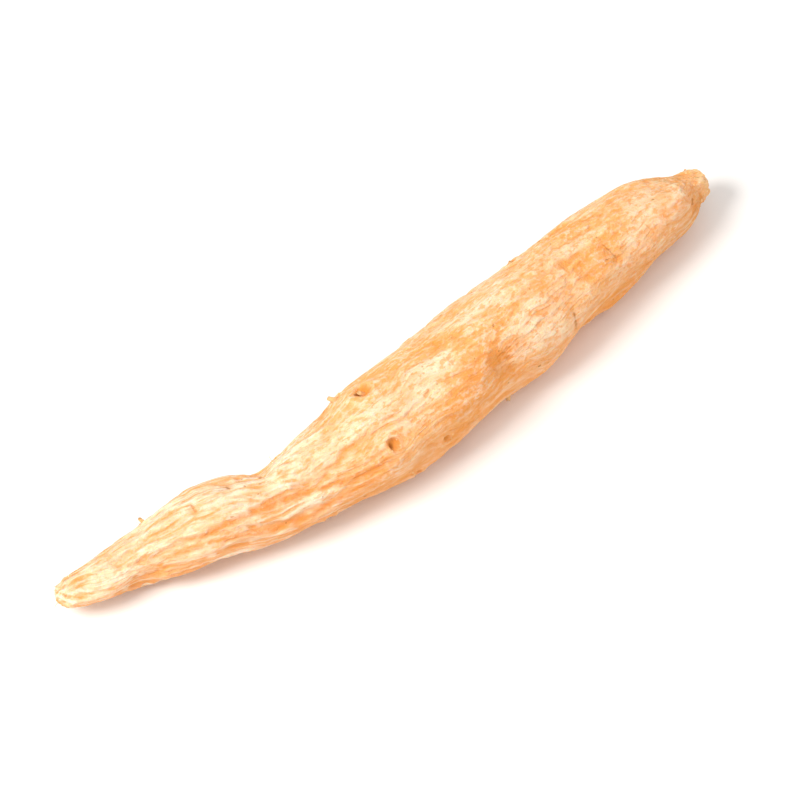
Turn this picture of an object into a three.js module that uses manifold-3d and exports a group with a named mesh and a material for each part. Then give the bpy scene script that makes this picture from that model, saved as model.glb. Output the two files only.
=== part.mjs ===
// A dried pseudostellaria root: one whole storage root, shrunk and furrowed by drying, lying on its belly.
// Units are millimetres and +Z is up. +X runs from the broken tail to the crown, where the stem stood.
// The origin is on the ground, under the middle of the root.

import * as THREE from "three";
import { mergeVertices } from "three/addons/utils/BufferGeometryUtils.js";
import Module from "manifold-3d";

const SKIN_COLOUR = 0xe8bd86;
const SKIN_ROUGHNESS = 0.85;

// The line through the middle of the root, tail first, with its half width and half height at each place.
const STATIONS = [
  { x: 0.5, y: 0.7, z: 1.9, across: 0.88, high: 0.84 },
  { x: 3.0, y: -0.2, z: 2.0, across: 1.35, high: 1.3 },
  { x: 6.4, y: -0.4, z: 2.25, across: 1.75, high: 1.65 },
  { x: 10.1, y: -1.05, z: 2.7, across: 2.4, high: 2.2 },
  { x: 12.6, y: -1.65, z: 2.8, across: 2.6, high: 2.45 },
  { x: 15.6, y: -2.55, z: 2.75, across: 2.4, high: 2.25 },
  { x: 19.4, y: -2.75, z: 3.0, across: 2.95, high: 2.8 },
  { x: 24.5, y: -2.4, z: 3.25, across: 3.75, high: 3.4 },
  { x: 30.0, y: -2.0, z: 3.3, across: 3.6, high: 3.5 },
  { x: 36.0, y: -1.1, z: 3.2, across: 3.55, high: 3.4 },
  { x: 41.4, y: -0.35, z: 2.95, across: 3.3, high: 3.0 },
  { x: 46.4, y: 0.35, z: 2.85, across: 2.9, high: 2.6 },
  { x: 49.6, y: 0.3, z: 2.8, across: 2.3, high: 2.1 },
  { x: 51.6, y: 0.55, z: 2.75, across: 1.4, high: 1.25 },
  { x: 52.8, y: 0.5, z: 2.7, across: 0.88, high: 0.84 },
];

// The place under the middle of the root that becomes the origin.
const ORIGIN = { x: 26.55, y: -1.3 };

// The blunt ends: how far each is rounded along the root, and how square its corner is.
const TAIL_END = { length: 1, square: 2.1 };
const CROWN_END = { length: 0.45, square: 3 };

// The rings and the points round each ring that the skin is drawn with.
const RING_STEP = 0.46;
const END_RINGS = 4;
const SECTORS = 46;

// Drying pulls the root into a few blunt lobes. Each has a count round the root, a share and a slow turn.
const LOBES = [
  { count: 2, share: 0.03, start: 0.6, turn: 0.035 },
  { count: 3, share: 0.03, start: 2.1, turn: -0.05 },
  { count: 5, share: 0.016, start: 4.0, turn: 0.08 },
];

// Low swellings that keep the outline from being smooth.
const SWELLS = { count: 14, height: 0.05, slowest: 0.25, fastest: 1.1, most_round: 4 };

// The grain of the root: every furrow turns with it, faster in the thin tail than in the body.
const TAIL_LENGTH = 22;
const TAIL_TURN = 0.022;
const BODY_TURN = 0.008;

// Furrows: the long ones of the tail, those that gather at the crown, and short ones over the body.
// Each run has a count, a depth and width, the stretch it lies in and how far it wanders from the grain.
// The two boldest lie on the tail's upper side, and each has its own angle and its own slow wave.
const TAIL_FURROWS = { count: 9, depth: 0.2, width: 0.36, from: 1.5, to: 26, wander: 0.09 };
const CROWN_FURROWS = { count: 9, depth: 0.13, width: 0.42, from: 37, to: 52, wander: 0.12 };
const BODY_FURROWS = { count: 28, depth: 0.12, width: 0.45, from: 15, to: 48, wander: 0.18 };
const SEEN_FURROWS = [
  { angle: 1.92, from: 7.5, to: 25, depth: 0.17, width: 0.32, wander: 0.14, wave: 0.57, phase: 2.15 },
  { angle: 2.4, from: 6, to: 23, depth: 0.15, width: 0.34, wander: 0.08, wave: 0.5, phase: 0 },
];
const FURROW_RISE = 2.5;
const FURROW_FADE = 3.5;
const SHOULDER = { share: 0.35, spread: 2.6 };

// Rows of rootlets ran along the root. Each left a scar: a low rim round a pit, wider round than along.
const SCAR_ROWS = [0.1, 3.85, 5.0];
const SCARS_A_ROW = 7;
const SCAR_FIRST = 6;
const SCAR_GAP = 5.7;
const SCAR_SIZE = 0.55;
const SCAR_RIM = 0.09;
const SCAR_PIT = 0.24;
const SEEN_SCARS = [
  { s: 24.0, angle: 1.1, size: 0.9 },
  { s: 23.3, angle: 2.31, size: 0.6 },
  { s: 26.8, angle: 2.98, size: 0.4 },
];

// Single swellings and hollows, and the short creases that cross the grain.
const MOUNDS = [
  { s: 11.4, angle: 1.45, size: 1.3, height: 0.22 },
  { s: 32.5, angle: 2.43, size: 1.3, height: -0.26 },
  { s: 36.5, angle: 1.5, size: 1.8, height: 0.14 },
  { s: 28.0, angle: 4.0, size: 1.9, height: -0.2 },
  { s: 21.5, angle: 0.2, size: 1.4, height: -0.16 },
  { s: 44.5, angle: 5.6, size: 1.5, height: 0.16 },
];
const CREASES = [
  { s: 10.3, angle: 1.45, reach: 0.9, width: 0.35, depth: 0.12 },
  { s: 12.7, angle: 1.2, reach: 0.9, width: 0.4, depth: 0.16 },
  { s: 15.2, angle: 0.85, reach: 1.5, width: 0.75, depth: 0.2 },
  { s: 43.2, angle: 2.0, reach: 1.1, width: 0.35, depth: 0.16 },
  { s: 38.4, angle: 2.8, reach: 1.6, width: 0.4, depth: 0.12 },
  { s: 50.7, angle: 2.5, reach: 0.9, width: 0.35, depth: 0.14 },
  { s: 19.6, angle: 4.4, reach: 1.8, width: 0.4, depth: 0.16 },
  { s: 30.2, angle: 5.4, reach: 2.2, width: 0.45, depth: 0.16 },
  { s: 41.0, angle: 4.1, reach: 1.8, width: 0.4, depth: 0.14 },
  { s: 35.1, angle: 0.2, reach: 1.6, width: 0.4, depth: 0.14 },
];
const CREASE_BOW = 0.12;

// The crown: a pinched collar, then crumbled bud scales round the pit where the stem broke off.
const COLLAR = { before_end: 1.5, width: 0.45, depth: 0.08 };
const BUD_SCALES = { count: 6, before_end: 0.75, size: 0.38, height: 0.17 };
const STEM_PIT = 0.35;

// Broken rootlets that still stand in some of the scars. A low one is left out, so that none meets the ground.
const STUB = { every: 3, sides: 7, foot: 0.26, tip: 0.13, sunk: 0.7, shortest: 0.2, longest: 0.75, lean: 0.6 };
const STUB_LOWEST = -0.75;

const SEED = 20817;

// A small seeded generator, so that every draw is the same each time.
let drawn = SEED;
function draw() {
  drawn = (Math.imul(drawn, 1664525) + 1013904223) >>> 0;
  return drawn / 4294967296;
}

function between(low, high) {
  return low + (high - low) * draw();
}

// A smooth bell that is 1 at 0 and falls away over one width.
function bell(distance, width) {
  return Math.exp(-((distance / width) ** 2));
}

// A smooth rise from 0 to 1 between two places.
function rise(low, high, value) {
  const share = Math.min(Math.max((value - low) / (high - low), 0), 1);
  return share * share * (3 - 2 * share);
}

// The shortest way round from one angle to another.
function turnFrom(angle, other) {
  return Math.atan2(Math.sin(angle - other), Math.cos(angle - other));
}

function curveThrough(points) {
  return new THREE.CatmullRomCurve3(points, false, "catmullrom", 0.5);
}

const UP = new THREE.Vector3(0, 0, 1);
const middle = curveThrough(STATIONS.map(({ x, y, z }) => new THREE.Vector3(x, y, z)));
const girth = curveThrough(STATIONS.map(({ across, high }) => new THREE.Vector3(across, high, 0)));
const ROOT_LENGTH = middle.getLength();

// How full the root is near its two blunt ends: 0 at the very end and 1 past the rounding.
function fullness(s) {
  const rounded = (inward, { length, square }) =>
    (1 - (1 - Math.min(inward / length, 1)) ** square) ** (1 / square);
  return rounded(s, TAIL_END) * rounded(ROOT_LENGTH - s, CROWN_END);
}

// The cross-section at a distance s from the tail: its middle, its directions, its girth and its fullness.
function sectionAt(s) {
  const t = middle.getUtoTmapping(s / ROOT_LENGTH);
  const along = middle.getTangent(t);
  const side = new THREE.Vector3().crossVectors(UP, along).normalize();
  const top = new THREE.Vector3().crossVectors(along, side);
  const { x: across, y: high } = girth.getPoint(t);
  return { s, centre: middle.getPoint(t), along, side, top, across, high, full: fullness(s) };
}

// Long furrows stand side by side round the root and run most of their stretch.
function longFurrows({ count, depth, width, from, to, wander }) {
  return Array.from({ length: count }, (_, i) => ({
    angle: ((i + between(-0.25, 0.25)) * 2 * Math.PI) / count,
    from: from + between(0, 2),
    to: to - between(0, 8),
    depth: depth * between(0.6, 1.1),
    width: width * between(0.8, 1.2),
    wander: wander * between(0.5, 1.5),
    wave: between(0.25, 0.6),
    phase: between(0, 2 * Math.PI),
  }));
}

// Short furrows lie scattered over their stretch.
function shortFurrows({ count, depth, width, from, to, wander }) {
  return Array.from({ length: count }, () => {
    const start = between(from, to - 5);
    return {
      angle: between(0, 2 * Math.PI),
      from: start,
      to: start + between(5, 12),
      depth: depth * between(0.5, 1.2),
      width: width * between(0.8, 1.3),
      wander: wander * between(0.4, 1.4),
      wave: between(0.3, 0.9),
      phase: between(0, 2 * Math.PI),
    };
  });
}

const furrows = [
  ...SEEN_FURROWS,
  ...longFurrows(TAIL_FURROWS),
  ...longFurrows(CROWN_FURROWS),
  ...shortFurrows(BODY_FURROWS),
];

const swells = Array.from({ length: SWELLS.count }, () => ({
  height: SWELLS.height * between(0.4, 1),
  along: between(SWELLS.slowest, SWELLS.fastest),
  round: Math.floor(between(0, SWELLS.most_round + 1)),
  phase: between(0, 2 * Math.PI),
}));

const rowScars = SCAR_ROWS.flatMap((row) =>
  Array.from({ length: SCARS_A_ROW }, (_, i) => ({
    s: SCAR_FIRST + SCAR_GAP * i + between(-1.6, 1.6),
    angle: row + between(-0.35, 0.35),
    size: SCAR_SIZE * between(0.55, 1.35),
  })),
);

// Where the rings stand: even along the root and closer together over its two blunt ends.
function ringPlaces() {
  const opening = (i) => 1 - Math.cos((Math.PI / 2) * (i / END_RINGS));
  const inner = Array.from({ length: END_RINGS - 1 }, (_, i) => opening(i + 1));
  const even = ROOT_LENGTH - TAIL_END.length - CROWN_END.length;
  const steps = Math.round(even / RING_STEP);
  return [
    ...inner.map((share) => TAIL_END.length * share),
    ...Array.from({ length: steps + 1 }, (_, i) => TAIL_END.length + (even * i) / steps),
    ...inner.map((share) => ROOT_LENGTH - CROWN_END.length * share).reverse(),
  ];
}

const places = ringPlaces();
const sectorTurn = (2 * Math.PI) / SECTORS;

// A scar's pit is one point of the skin, so each scar moves to the point nearest to it.
function onPoint({ s, angle, size }) {
  const nearest = places.reduce((best, place) => (Math.abs(place - s) < Math.abs(best - s) ? place : best));
  return { s: nearest, angle: Math.round(angle / sectorTurn) * sectorTurn, size };
}

const scars = [...SEEN_SCARS, ...rowScars].map(onPoint);

const budScales = Array.from({ length: BUD_SCALES.count }, (_, i) => ({
  s: ROOT_LENGTH - BUD_SCALES.before_end + between(-0.2, 0.2),
  angle: ((i + between(-0.2, 0.2)) * 2 * Math.PI) / BUD_SCALES.count,
  size: BUD_SCALES.size * between(0.8, 1.2),
  height: BUD_SCALES.height * between(0.6, 1.2),
}));
const mounds = [...MOUNDS, ...budScales];

function grainTurn(s) {
  return TAIL_TURN * Math.min(s, TAIL_LENGTH) + BODY_TURN * Math.max(s - TAIL_LENGTH, 0);
}

function furrowDepth(furrow, s, angle, radius) {
  const wander = furrow.wander * Math.sin(furrow.wave * s + furrow.phase);
  const off = radius * turnFrom(angle, furrow.angle + grainTurn(s) + wander);
  const ends = rise(furrow.from, furrow.from + FURROW_RISE, s) * (1 - rise(furrow.to - FURROW_FADE, furrow.to, s));
  const shoulders = SHOULDER.share * bell(off, SHOULDER.spread * furrow.width);
  return furrow.depth * ends * (bell(off, furrow.width) - shoulders);
}

function scarHeight(scar, s, angle, radius) {
  const along = (s - scar.s) / (0.75 * scar.size);
  const round = (radius * turnFrom(angle, scar.angle)) / scar.size;
  const off = Math.hypot(along, round);
  return (scar.size / SCAR_SIZE) * (SCAR_RIM * bell(off - 1, 0.5) - SCAR_PIT * bell(off, 0.6));
}

function moundHeight(mound, s, angle, radius) {
  return mound.height * bell(Math.hypot(s - mound.s, radius * turnFrom(angle, mound.angle)), mound.size);
}

function creaseDepth(crease, s, angle, radius) {
  const round = radius * turnFrom(angle, crease.angle);
  const bowed = s - crease.s - CREASE_BOW * round * round;
  return crease.depth * bell(bowed, crease.width) * bell(round, crease.reach);
}

// How far the skin stands out from the plain root at one place, less where it is furrowed or pitted.
function relief(s, angle, radius) {
  let height = -COLLAR.depth * bell(ROOT_LENGTH - s - COLLAR.before_end, COLLAR.width);
  for (const swell of swells) {
    height += swell.height * Math.cos(swell.along * s + swell.round * angle + swell.phase);
  }
  for (const mound of mounds) {
    height += moundHeight(mound, s, angle, radius);
  }
  for (const furrow of furrows) {
    height -= furrowDepth(furrow, s, angle, radius);
  }
  for (const scar of scars) {
    height += scarHeight(scar, s, angle, radius);
  }
  for (const crease of CREASES) {
    height -= creaseDepth(crease, s, angle, radius);
  }
  return height;
}

function lobeShare(s, angle) {
  return LOBES.reduce((sum, lobe) => sum + lobe.share * Math.cos(lobe.count * angle + lobe.start + lobe.turn * s), 1);
}

// A point of the skin. Angle 0 is the +Y side and a quarter turn is the top.
function skinPoint({ s, centre, side, top, across, high, full }, angle) {
  const share = full * lobeShare(s, angle);
  const raised = full * relief(s, angle, (across + high) / 2);
  return centre
    .clone()
    .addScaledVector(side, Math.cos(angle) * (across * share + raised))
    .addScaledVector(top, Math.sin(angle) * (high * share + raised));
}

// The skin as one closed surface: rings between a point at each end, with the belly pressed flat on the ground.
function skinGeometry() {
  const sections = places.map(sectionAt);
  const crownPoint = middle.getPoint(1).addScaledVector(middle.getTangent(1), -STEM_PIT);
  const points = [middle.getPoint(0)];
  for (const section of sections) {
    for (let j = 0; j < SECTORS; j += 1) {
      points.push(skinPoint(section, sectorTurn * j));
    }
  }
  points.push(crownPoint);
  for (const point of points) {
    point.z = Math.max(point.z, 0);
  }
  const at = (ring, j) => 1 + ring * SECTORS + (j % SECTORS);
  const lastRing = sections.length - 1;
  const faces = [];
  for (let j = 0; j < SECTORS; j += 1) {
    faces.push(0, at(0, j + 1), at(0, j));
    for (let ring = 0; ring < lastRing; ring += 1) {
      const [a, b, c, d] = [at(ring, j), at(ring, j + 1), at(ring + 1, j + 1), at(ring + 1, j)];
      faces.push(a, b, c, a, c, d);
    }
    faces.push(at(lastRing, j), at(lastRing, j + 1), points.length - 1);
  }
  return new THREE.BufferGeometry().setFromPoints(points).setIndex(faces);
}

// A broken rootlet that stands in its scar and leans towards the tail.
function stubGeometry({ s, angle }) {
  const section = sectionAt(s);
  const direction = new THREE.Vector3()
    .addScaledVector(section.side, Math.cos(angle))
    .addScaledVector(section.top, Math.sin(angle))
    .addScaledVector(section.along, -STUB.lean * between(0.3, 1.4))
    .normalize();
  const length = STUB.sunk + between(STUB.shortest, STUB.longest);
  const { x, y, z } = skinPoint(section, angle);
  return new THREE.CylinderGeometry(STUB.tip, STUB.foot, length, STUB.sides, 1)
    .translate(0, length / 2 - STUB.sunk, 0)
    .applyQuaternion(new THREE.Quaternion().setFromUnitVectors(new THREE.Vector3(0, 1, 0), direction))
    .translate(x, y, z);
}

const wasm = await Module();
wasm.setup();

function solidOf(geometry) {
  const bare = new THREE.BufferGeometry().setAttribute("position", geometry.getAttribute("position"));
  const merged = mergeVertices(bare.setIndex(geometry.getIndex()), 1e-4);
  const vertProperties = new Float32Array(merged.getAttribute("position").array);
  const triVerts = new Uint32Array(merged.getIndex().array);
  return new wasm.Manifold(new wasm.Mesh({ numProp: 3, vertProperties, triVerts }));
}

function geometryOf(solid) {
  const { vertProperties, triVerts } = solid.getMesh();
  const geometry = new THREE.BufferGeometry();
  geometry.setAttribute("position", new THREE.BufferAttribute(new Float32Array(vertProperties), 3));
  geometry.setIndex(new THREE.BufferAttribute(new Uint32Array(triVerts), 1));
  geometry.computeVertexNormals();
  return geometry;
}

const stubbed = scars.filter((scar, i) => i % STUB.every === 0 && Math.sin(scar.angle) > STUB_LOWEST);
const whole = stubbed.reduce((solid, scar) => solid.add(solidOf(stubGeometry(scar))), solidOf(skinGeometry()));

const skin = new THREE.MeshStandardMaterial({ color: SKIN_COLOUR, roughness: SKIN_ROUGHNESS, metalness: 0 });
const root = new THREE.Mesh(geometryOf(whole), skin);
root.name = "root";
root.position.set(-ORIGIN.x, -ORIGIN.y, 0);

const driedRoot = new THREE.Group();
driedRoot.add(root);

export default driedRoot;
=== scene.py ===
"""A dried pseudostellaria root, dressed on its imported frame.

The skin is grown again from the sizes that the solid was made from, on a finer grid. Then it gets the
fine wrinkles, rootlet ends and crumbs that a dry root has, and the powdery, tawny skin itself.
Sizes of the form are in millimetres, and every mesh is in metres.
"""

import logging
import math
from dataclasses import dataclass, replace
from typing import Any

import bmesh
import bpy
import numpy as np
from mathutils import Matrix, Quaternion, Vector


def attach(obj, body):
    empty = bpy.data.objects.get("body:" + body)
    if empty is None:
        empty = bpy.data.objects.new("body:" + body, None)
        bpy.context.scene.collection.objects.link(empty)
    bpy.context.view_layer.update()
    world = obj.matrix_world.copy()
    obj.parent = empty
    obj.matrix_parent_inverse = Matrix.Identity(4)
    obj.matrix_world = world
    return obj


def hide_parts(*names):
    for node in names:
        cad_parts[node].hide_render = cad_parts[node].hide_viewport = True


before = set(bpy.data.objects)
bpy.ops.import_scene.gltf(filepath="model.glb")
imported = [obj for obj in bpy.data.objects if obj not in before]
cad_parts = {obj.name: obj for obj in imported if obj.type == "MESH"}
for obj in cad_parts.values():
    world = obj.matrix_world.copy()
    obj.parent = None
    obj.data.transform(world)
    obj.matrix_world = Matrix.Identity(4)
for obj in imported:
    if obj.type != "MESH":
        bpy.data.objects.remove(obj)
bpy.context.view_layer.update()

MM = 0.001
NODE = "root"
BODY = "root"
TURN = 2 * math.pi

log = logging.getLogger("dried_root")


# Draws and simple curves

class Draws:
    """A small seeded generator, so that every draw is the same each time."""

    def __init__(self, seed: int) -> None:
        """Start the draws from the number that fixes them all."""
        self.state = seed

    def between(self, low: float, high: float) -> float:
        """Draw one number between a low and a high one."""
        self.state = (1664525 * self.state + 1013904223) & 0xFFFFFFFF
        return low + (high - low) * self.state / 4294967296


def bell(distance: np.ndarray, width: float) -> np.ndarray:
    """Give a smooth bell of a distance, 1 in its middle and about a third at its width."""
    return np.exp(-((distance / width) ** 2))


def rise(low: float, high: float, value: np.ndarray) -> np.ndarray:
    """Give a smooth rise, from 0 at the low value to 1 at the high one."""
    share = np.clip((value - low) / (high - low), 0.0, 1.0)
    return share * share * (3.0 - 2.0 * share)


def turn_from(angle: np.ndarray, other: np.ndarray) -> np.ndarray:
    """Give the shortest signed turn to an angle from another one, in radians."""
    return (angle - other + math.pi) % TURN - math.pi


def curve_through(points: np.ndarray, share: np.ndarray) -> np.ndarray:
    """Read a smooth curve through a row of points.

    Args:
        points: The points, one a row.
        share: How far along the row to read, from 0 to 1.

    Returns:
        The curve's point at each share.
    """
    ends = np.vstack([2 * points[0] - points[1], points, 2 * points[-1] - points[-2]])
    spans = len(points) - 1
    place = np.clip(share, 0.0, 1.0) * spans
    first = np.minimum(place.astype(int), spans - 1)
    w = (place - first)[..., None]
    before, start, end, after = (ends[first + i] for i in range(4))
    leave = 0.5 * (end - before)
    arrive = 0.5 * (after - start)
    square = 3 * (end - start) - 2 * leave - arrive
    cube = 2 * (start - end) + leave + arrive
    return start + leave * w + square * w**2 + cube * w**3


# What the root's form is made of

@dataclass
class Places:
    """Places on the skin: how far from the tail, the angle round the root and its mean radius there."""

    s: np.ndarray
    angle: np.ndarray
    radius: np.ndarray

    def round_from(self, angle: float | np.ndarray) -> np.ndarray:
        """Give the way round the skin to each place from an angle, in millimetres."""
        return self.radius * turn_from(self.angle, angle)

    def zeros(self) -> np.ndarray:
        """Give 0 at every place."""
        return np.zeros(np.broadcast(self.s, self.angle).shape)


@dataclass(frozen=True)
class Station:
    """One place along the middle of the root, with its half width and half height."""

    x: float
    y: float
    z: float
    across: float
    high: float


@dataclass(frozen=True)
class BluntEnd:
    """A rounded end: how far it is rounded along the root, and how square its corner is."""

    length: float
    square: float

    def rounded(self, inward: np.ndarray) -> np.ndarray:
        """Tell how full the root is at a distance in from this end, from 0 to 1."""
        out = 1.0 - np.clip(inward / self.length, 0.0, 1.0)
        return (1.0 - out**self.square) ** (1.0 / self.square)


@dataclass(frozen=True)
class Lobe:
    """A blunt lobe of the cross-section: its count round the root, its share and its slow turn."""

    count: int
    share: float
    start: float
    turn: float


@dataclass(frozen=True)
class FurrowRun:
    """A run of furrows: how many, how deep and wide, where they lie and how far they wander."""

    count: int
    depth: float
    width: float
    start: float
    end: float
    wander: float

    def long_ones(self, draws: Draws) -> list["Furrow"]:
        """Lay furrows side by side round the root.

        Args:
            draws: The seeded draws.

        Returns:
            The furrows, most of them as long as the run.
        """
        return [
            Furrow(
                angle=(i + draws.between(-0.25, 0.25)) * TURN / self.count,
                start=self.start + draws.between(0, 2),
                end=self.end - draws.between(0, 8),
                depth=self.depth * draws.between(0.6, 1.1),
                width=self.width * draws.between(0.8, 1.2),
                wander=self.wander * draws.between(0.5, 1.5),
                wave=draws.between(0.25, 0.6),
                phase=draws.between(0, TURN),
            )
            for i in range(self.count)
        ]

    def short_ones(self, draws: Draws) -> list["Furrow"]:
        """Scatter short furrows over the run's stretch.

        Args:
            draws: The seeded draws.

        Returns:
            The furrows.
        """
        made = []
        for _ in range(self.count):
            start = draws.between(self.start, self.end - 5)
            made.append(
                Furrow(
                    angle=draws.between(0, TURN),
                    start=start,
                    end=start + draws.between(5, 12),
                    depth=self.depth * draws.between(0.5, 1.2),
                    width=self.width * draws.between(0.8, 1.3),
                    wander=self.wander * draws.between(0.4, 1.4),
                    wave=draws.between(0.3, 0.9),
                    phase=draws.between(0, TURN),
                )
            )
        return made


@dataclass(frozen=True)
class Furrow:
    """One furrow along the grain, with raised shoulders."""

    angle: float
    start: float
    end: float
    depth: float
    width: float
    wander: float
    wave: float
    phase: float

    rise_length = 2.5
    fade_length = 3.5
    shoulder_share = 0.35
    shoulder_spread = 2.6

    def depth_at(self, at: Places) -> np.ndarray:
        """Give how deep the furrow is.

        Args:
            at: The places, with the grain's own turn taken off their angles.

        Returns:
            The depth at each place, which is less than 0 on the shoulders.
        """
        off = at.round_from(self.angle + self.wander * np.sin(self.wave * at.s + self.phase))
        begun = rise(self.start, self.start + self.rise_length, at.s)
        left = 1.0 - rise(self.end - self.fade_length, self.end, at.s)
        shoulders = self.shoulder_share * bell(off, self.shoulder_spread * self.width)
        return self.depth * begun * left * (bell(off, self.width) - shoulders)


@dataclass(frozen=True)
class Swell:
    """A low wave over the whole skin."""

    height: float
    along: float
    around: int
    phase: float


@dataclass(frozen=True)
class Scar:
    """The mark of a rootlet, wider round the root than along it."""

    s: float
    angle: float
    size: float

    narrow = 0.75

    def offset(self, at: Places) -> np.ndarray:
        """Measure places from the scar's middle, where 1 is its rim."""
        along = (at.s - self.s) / (self.narrow * self.size)
        return np.hypot(along, at.round_from(self.angle) / self.size)


@dataclass(frozen=True)
class Mound:
    """A single low swelling, or a hollow where the height is less than 0."""

    s: float
    angle: float
    size: float
    height: float

    def offset(self, at: Places) -> np.ndarray:
        """Measure places from the mound's middle, in millimetres."""
        return np.hypot(at.s - self.s, at.round_from(self.angle))


@dataclass(frozen=True)
class Crease:
    """A short bowed crease across the grain."""

    s: float
    angle: float
    reach: float
    width: float
    depth: float

    def line(self, at: Places, bow: float, width: float = 1.0, reach: float = 1.0) -> np.ndarray:
        """Draw the crease's bowed line.

        Args:
            at: The places.
            bow: How much the line bows.
            width: How wide it is, as a share of the crease's width.
            reach: How far it reaches, as a share of the crease's reach.

        Returns:
            1 along the middle of the line and 0 outside it.
        """
        off = at.round_from(self.angle)
        return bell(at.s - self.s - bow * off**2, width * self.width) * bell(off, reach * self.reach)


@dataclass
class Sections:
    """The root's cross-sections: their middles, directions, girths and how full they are."""

    s: np.ndarray
    centre: np.ndarray
    along: np.ndarray
    side: np.ndarray
    top: np.ndarray
    across: np.ndarray
    high: np.ndarray
    full: np.ndarray

    @property
    def radius(self) -> np.ndarray:
        """Give the mean radius of each section."""
        return (self.across + self.high) / 2

    def places(self, angle: np.ndarray) -> Places:
        """Give the places at some angles round every section."""
        return Places(self.s[:, None], angle, self.radius[:, None])


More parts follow.
